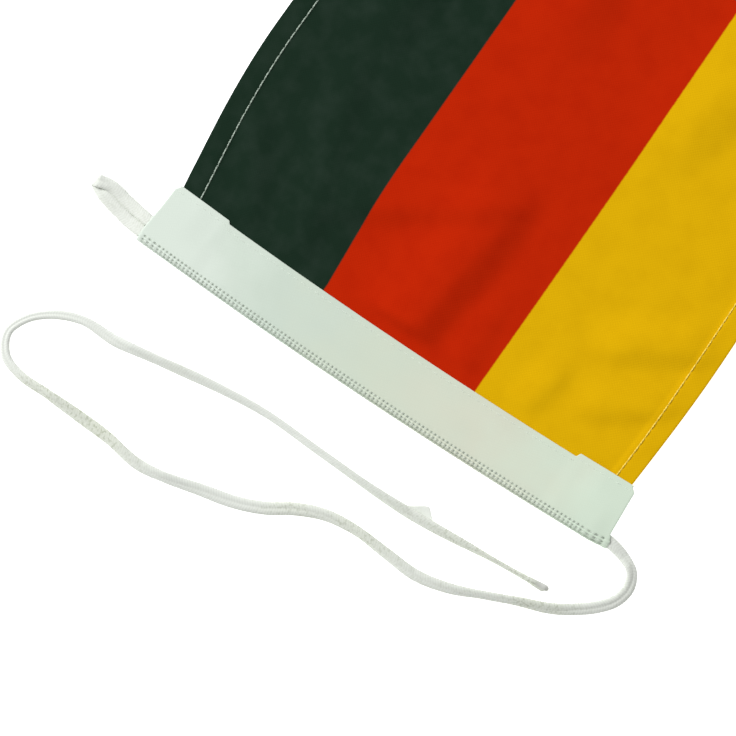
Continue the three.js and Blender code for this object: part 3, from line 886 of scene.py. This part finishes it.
SHOULDER = (0.0045, 0.019)  # from the fold: where the upper layer starts to come down and is down
NEEDLES = 115
NEEDLE_PITCH = 2 * HALF_HOIST / NEEDLES
NEEDLE_ROWS = (0.00258, 0.00405)  # round the surface from the outermost line of the fold
NEEDLE_PULL = 0.0003
PULL_WIDTH = 0.00042
PUCKER = 0.0001
PUCKER_FADE = 0.0006
WELT = 0.00008  # how far the tape swells between the two rows, away from their holes
WELT_WIDTH = 0.0004
LAP_ROW = 0.00148  # where the stitches pass over the edge of the fold
# The tape is not evenly white: its colours from the gold end to the black end, by share of its length.
SOIL = [
    (0.03, (0.650, 0.760, 0.630)),
    (0.28, (0.660, 0.690, 0.565)),
    (0.50, (0.620, 0.690, 0.570)),
    (0.74, (0.590, 0.680, 0.590)),
    (0.93, (0.685, 0.765, 0.685)),
]
SOIL_PATCHES = 0.35  # how far patches shift it, by share of the length
EDGE_SEAM = 0.0022  # from the edge on the cloth
EDGE_STARTS = 0.001
EDGE_STITCH = 0.0024
EDGE_PITCH = 0.0031
FINE_THREAD = 0.00011
TAPE_WEAVE = 0.00042
# The painted shade in the needle's holes, along their strokes and over their laps: from where to where
# it fades. The share is what the way along the heading counts in that, squared, so a small one makes a
# long mark.
HOLE_SHADE = (0.00017, 0.00048)
HOLE_SHARE = 0.36
LAP_SHADE = (0.00015, 0.0007)
LAP_SHARE = 0.3
STROKE_SHADE = (0.0001, 0.0005)
STROKE_FADE = 0.0002  # to each side of the first row
MARKS_START = 0.0012  # from the ends of the tape
MARKS_FADE = 0.0004
# the colour of the painted shade at the needle holes, their strokes and laps, and the fold's outer
# side
HOLE_SHADE_COLOUR = (0.17, 0.215, 0.16, 1)
# The tape's grid is close-set at its edge and over the fold, up to BAND_TOP from the fold's outermost
# line, and wider between these, from FLAT_BAND on.
BAND_TOP = 0.0044
FLAT_BAND = 0.0046
UPPER_STEPS = 17
UPPER_SPREAD = 1.15  # the larger, the closer its steps are to the fold
BAND_STEPS = 12
BEND_STEPS = 21
LOWER_STEPS = 7
STATIONS_A_NEEDLE = 6
NEAR_THE_END = np.array([0.00002, 0.00007, 0.00015])


def turned_end(y):
    return smoothstep(np.abs(y) - TURNED_FROM, -TURNED_STEP, TURNED_STEP)


def flag_side(y):
    out = np.where(y > 0, TURNED_OUT[1], TURNED_OUT[0])
    return FLAG_SIDE_END - BOW * (1 - (y / HALF_HOIST) ** 2) + turned_end(y) * out


def tape_y(station, x):
    """The place along the hoist of a station of the tape, whose ends are cut at a slant."""
    end = (station > 0).astype(int)
    near, far = np.array(END_NEAR)[end], np.array(END_FAR)[end]
    past = near + (far - near) * np.clip(x / FOLD_END, 0, 1)
    past = np.where(x > CORNER_CUT[0], CORNER_CUT[1], past)
    past = past + MOUTH_OUT * smoothstep(-x, *MOUTH_FROM) * (station < 0)
    share = np.clip((np.abs(station) - SLANT_STARTS) / (HALF_HOIST - SLANT_STARTS), 0, 1)
    return station + np.sign(station) * past * share


def tape_top(x, y):
    """The height of the upper layer, which comes down from the cord to the cloth."""
    over_hem = smoothstep(np.abs(y), *HEM_RISE)
    on_cloth = HEADING_LIFT + CLOTH + (HEM - CLOTH) * over_hem + TAPE
    past_fold = x - outer_fold(y)
    fold_top = 2 * FOLD_RADIUS - PINCH_DOWN * smoothstep(-y, *PINCHED)
    down = smoothstep(past_fold, *SHOULDER)
    wave = WAVE * rolling(x, y, WAVE_SIZE, 4.5) * smoothstep(past_fold, *WAVES_FROM)
    level = fold_top + (on_cloth - fold_top) * down
    return level + TURNED_TAPE * smoothstep(np.abs(y), *TURNED_RISE) + wave


def around_fold(stations):
    """The outside of the tape at each station, from its edge on the cloth over the fold and back
    under it, as x, z and the distance round the surface from the fold's outermost line."""
    y = stations[:, None]
    fold, edge = outer_fold(y) + PINCH_IN * smoothstep(-y, *PINCHED), flag_side(y)
    flat = edge - EDGE_STEPS
    band_edge = fold + FLAT_BAND
    steps = np.linspace(1, 0, UPPER_STEPS) ** UPPER_SPREAD
    middle = band_edge + (edge - 2 * EDGE_STEPS[-1] - band_edge) * steps
    band = fold + np.linspace(BAND_TOP, FOLD_RADIUS, BAND_STEPS)
    bend = np.linspace(0, np.pi, BEND_STEPS)[1:-1]
    arc = fold + FOLD_RADIUS - FOLD_RADIUS * np.sin(bend)
    lower = edge - LOWER_SHORT - fold - FOLD_RADIUS
    under = fold + FOLD_RADIUS + lower * np.linspace(0, 1, LOWER_STEPS)
    upper = np.concatenate([flat, middle, band], axis=1)
    upper_z = tape_top(upper, np.broadcast_to(y, upper.shape))
    top = upper_z[:, -1:]
    arc_z = top / 2 + top / 2 * np.cos(bend)
    x = np.concatenate([upper, arc, under], axis=1)
    z = np.concatenate([upper_z, arc_z, np.zeros_like(under)], axis=1)
    run = np.hypot(np.diff(x, axis=1), np.diff(z, axis=1)).cumsum(axis=1)
    run = np.concatenate([np.zeros((len(x), 1)), run], axis=1)
    outermost = upper.shape[1] + len(bend) // 2
    return x, z, run[:, outermost, None] - run


def outward(x, z):
    dx, dz = np.gradient(x, axis=1), np.gradient(z, axis=1)
    return np.stack([dz, -dx]) / np.hypot(dx, dz)


def needle_pull(round_fold, station):
    """How far the stitches draw the tape in at their holes, and the puckers round the fold."""
    turn = 2 * np.pi * (station + HALF_HOIST) / NEEDLE_PITCH
    at_hole = 0.5 + 0.5 * np.cos(turn)
    away = np.abs(round_fold)
    rows = sum(np.exp(-(((away - row) / PULL_WIDTH) ** 2)) for row in NEEDLE_ROWS)
    pull = NEEDLE_PULL * rows * (0.3 + 0.7 * at_hole**2)
    between = np.exp(-(((away - sum(NEEDLE_ROWS) / 2) / WELT_WIDTH) ** 2))
    over_edge = 1 - smoothstep(away, NEEDLE_ROWS[0], NEEDLE_ROWS[0] + PUCKER_FADE)
    return pull + PUCKER * over_edge * at_hole**2 - WELT * between * (1 - at_hole)


def nearness(tree, away, row, from_hole, share):
    """The distance from the nearest hole of a row, with the way along it counted less."""
    beside = worked_out(tree, "SUBTRACT", away, row)
    squares = worked_out(tree, "MULTIPLY", beside, beside)
    along = worked_out(tree, "MULTIPLY", from_hole, from_hole)
    return worked_out(tree, "SQRT", worked_out(tree, "MULTIPLY_ADD", along, share, squares))


def heading_tape():
    """White polyester tape in a fine plain weave, a little soiled, with painted shade at its needle
    holes and fold.
    """
    material, tree, tape = fabric("heading_tape", roughness=0.75, specular=0.25, sheen=0.06)
    places, round_surface, along = own_places(tree)
    away = worked_out(tree, "ABSOLUTE", round_surface)
    from_hole = worked_out(tree, "PINGPONG", along, NEEDLE_PITCH / 2)

    # painted shade: the holes of the two rows, the strokes between a hole and the fold, and the laps
    # over the fold
    rows = [nearness(tree, away, row, from_hole, HOLE_SHARE) for row in NEEDLE_ROWS]
    hole_shade = ramp(tree, worked_out(tree, "MINIMUM", *rows), *HOLE_SHADE, 1.0, 0.0)
    stroke_shade = ramp(tree, from_hole, *STROKE_SHADE, 0.15, 0.0)
    first_row = NEEDLE_ROWS[0]
    over_edge = ramp(tree, away, first_row - STROKE_FADE, first_row + STROKE_FADE, 1.0, 0.0)
    stroke_shade = worked_out(tree, "MULTIPLY", stroke_shade, over_edge)
    lap_shade = nearness(tree, away, LAP_ROW, from_hole, LAP_SHARE)
    lap_shade = ramp(tree, lap_shade, *LAP_SHADE, 0.8, 0.0)
    dark = worked_out(tree, "MAXIMUM", hole_shade, worked_out(tree, "MAXIMUM", stroke_shade, lap_shade))
    # the painted shade is deeper at some stitches than at others
    uneven_shade_depth = ramp(tree, mottle(tree, places, 260, 2), 0.35, 0.62, 0.65, 1.0)
    dark = worked_out(tree, "MULTIPLY", dark, uneven_shade_depth)
    # painted shade on the outer side of the fold, fading by the first row
    fold_edge_shade = ramp(tree, away, LAP_ROW, first_row, 0.25, 0.0)
    dark = worked_out(tree, "MAXIMUM", dark, fold_edge_shade)
    start = ramp(tree, along, MARKS_START, MARKS_START + MARKS_FADE)
    end = 2 * HALF_HOIST - MARKS_START
    end = ramp(tree, along, end - MARKS_FADE, end, 1.0, 0.0)
    dark = worked_out(tree, "MULTIPLY", dark, worked_out(tree, "MULTIPLY", start, end))

    # soiled unevenly along the hoist
    patches = mottle(tree, places, 45, 3)
    spread = worked_out(tree, "MULTIPLY", along, 1 / (2 * HALF_HOIST))
    spread = worked_out(tree, "MULTIPLY_ADD", patches, SOIL_PATCHES, spread)
    colour = tones(tree, worked_out(tree, "SUBTRACT", spread, SOIL_PATCHES / 2), SOIL)
    # the painted shade of the holes, strokes, laps and the fold's outer side
    colour = mixed(tree, dark, colour, HOLE_SHADE_COLOUR)
    weave = weave_height(tree, places, TAPE_WEAVE)
    # painted shade of the weave: a little darker where its threads dip
    colour = scaled(tree, colour, ramp(tree, weave, -1, 1, 0.98, 1.015))
    put(tree, colour, tape.inputs["Base Color"])
    raise_bumps(tree, tape, weave, strength=0.2, distance=0.00004)
    return material


stations = np.linspace(-HALF_HOIST, HALF_HOIST, STATIONS_A_NEEDLE * NEEDLES + 1)
close_by = HALF_HOIST - NEAR_THE_END
stations = np.sort(np.concatenate([stations, close_by, -close_by]))
outer_x, outer_z, round_fold = around_fold(stations)
normal_x, normal_z = outward(outer_x, outer_z)
station_grid = np.broadcast_to(stations[:, None], outer_x.shape)
edge_share = np.clip(1 - (round_fold.max(axis=1, keepdims=True) - round_fold) / ROUND_EDGE, 0, 1)
end_share = np.clip(1 - (HALF_HOIST - np.abs(station_grid)) / END_TAPER, 0, 1)
edge_share = np.maximum(edge_share, end_share)
rounded = TAPE / 2 * (1 - np.sqrt(1 - EDGE_THINNER * edge_share**2))
pull = needle_pull(round_fold, station_grid) + rounded
tape_faces = []
for depth in (TAPE - rounded, pull):
    face_x = outer_x - normal_x * depth
    face_y = tape_y(station_grid, face_x)
    tape_faces.append(np.stack([face_x, face_y, outer_z - normal_z * depth], axis=-1))
tape_points, tape_quads = closed_sheet(*tape_faces)
tape_places = np.stack([round_fold, station_grid + HALF_HOIST], axis=-1).reshape(-1, 2)
heading = add_mesh("folded_tape", tape_points, tape_quads, np.vstack([tape_places, tape_places]))
heading.data.materials.append(heading_tape())

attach(heading, "root")
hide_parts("heading")

fine_thread = sewing_thread("fine_white_thread", (0.84, 0.90, 0.82))
heading_threads = []
holes_from = STATIONS_A_NEEDLE + len(NEAR_THE_END)
hole_rows = slice(holes_from, -holes_from, STATIONS_A_NEEDLE)
for row in (*NEEDLE_ROWS, *(-row for row in NEEDLE_ROWS)):
    holes = []
    for x, z, away in zip(outer_x[hole_rows], outer_z[hole_rows], round_fold[hole_rows]):
        holes.append((np.interp(row, away[::-1], x[::-1]), np.interp(row, away[::-1], z[::-1])))
    hole_x, hole_z = np.array(holes).T
    hole_y = tape_y(stations[hole_rows], hole_x)
    sewn_points = np.stack([hole_x, hole_y, hole_z], axis=1)
    lean = min(abs(row) / FOLD_RADIUS, np.pi / 2)
    way = np.array([-math.cos(lean), 0, math.copysign(math.sin(lean), row)])
    up = np.tile(way, (len(sewn_points) - 1, 1))
    name = f"cord_seam_{len(heading_threads)}"
    sewn = stitches(name, sewn_points[:-1], sewn_points[1:], up, FINE_THREAD, 0)
    heading_threads.append(sewn)
edge_y = np.arange(-HALF_HOIST + EDGE_STARTS, HALF_HOIST - EDGE_STITCH, EDGE_PITCH)
edge_ends = []
for y in (edge_y, edge_y + EDGE_STITCH):
    x = flag_side(y) - EDGE_SEAM
    edge_ends.append(np.stack([x, tape_y(y, x), tape_top(x, y)], axis=1))
up = np.tile([0.0, 0.0, 1.0], (len(edge_y), 1))
heading_threads.append(stitches("edge_seam", *edge_ends, up, FINE_THREAD, PLY_TURNS))
for sewn in heading_threads:
    sewn.data.materials.append(fine_thread)
    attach(sewn, "root")
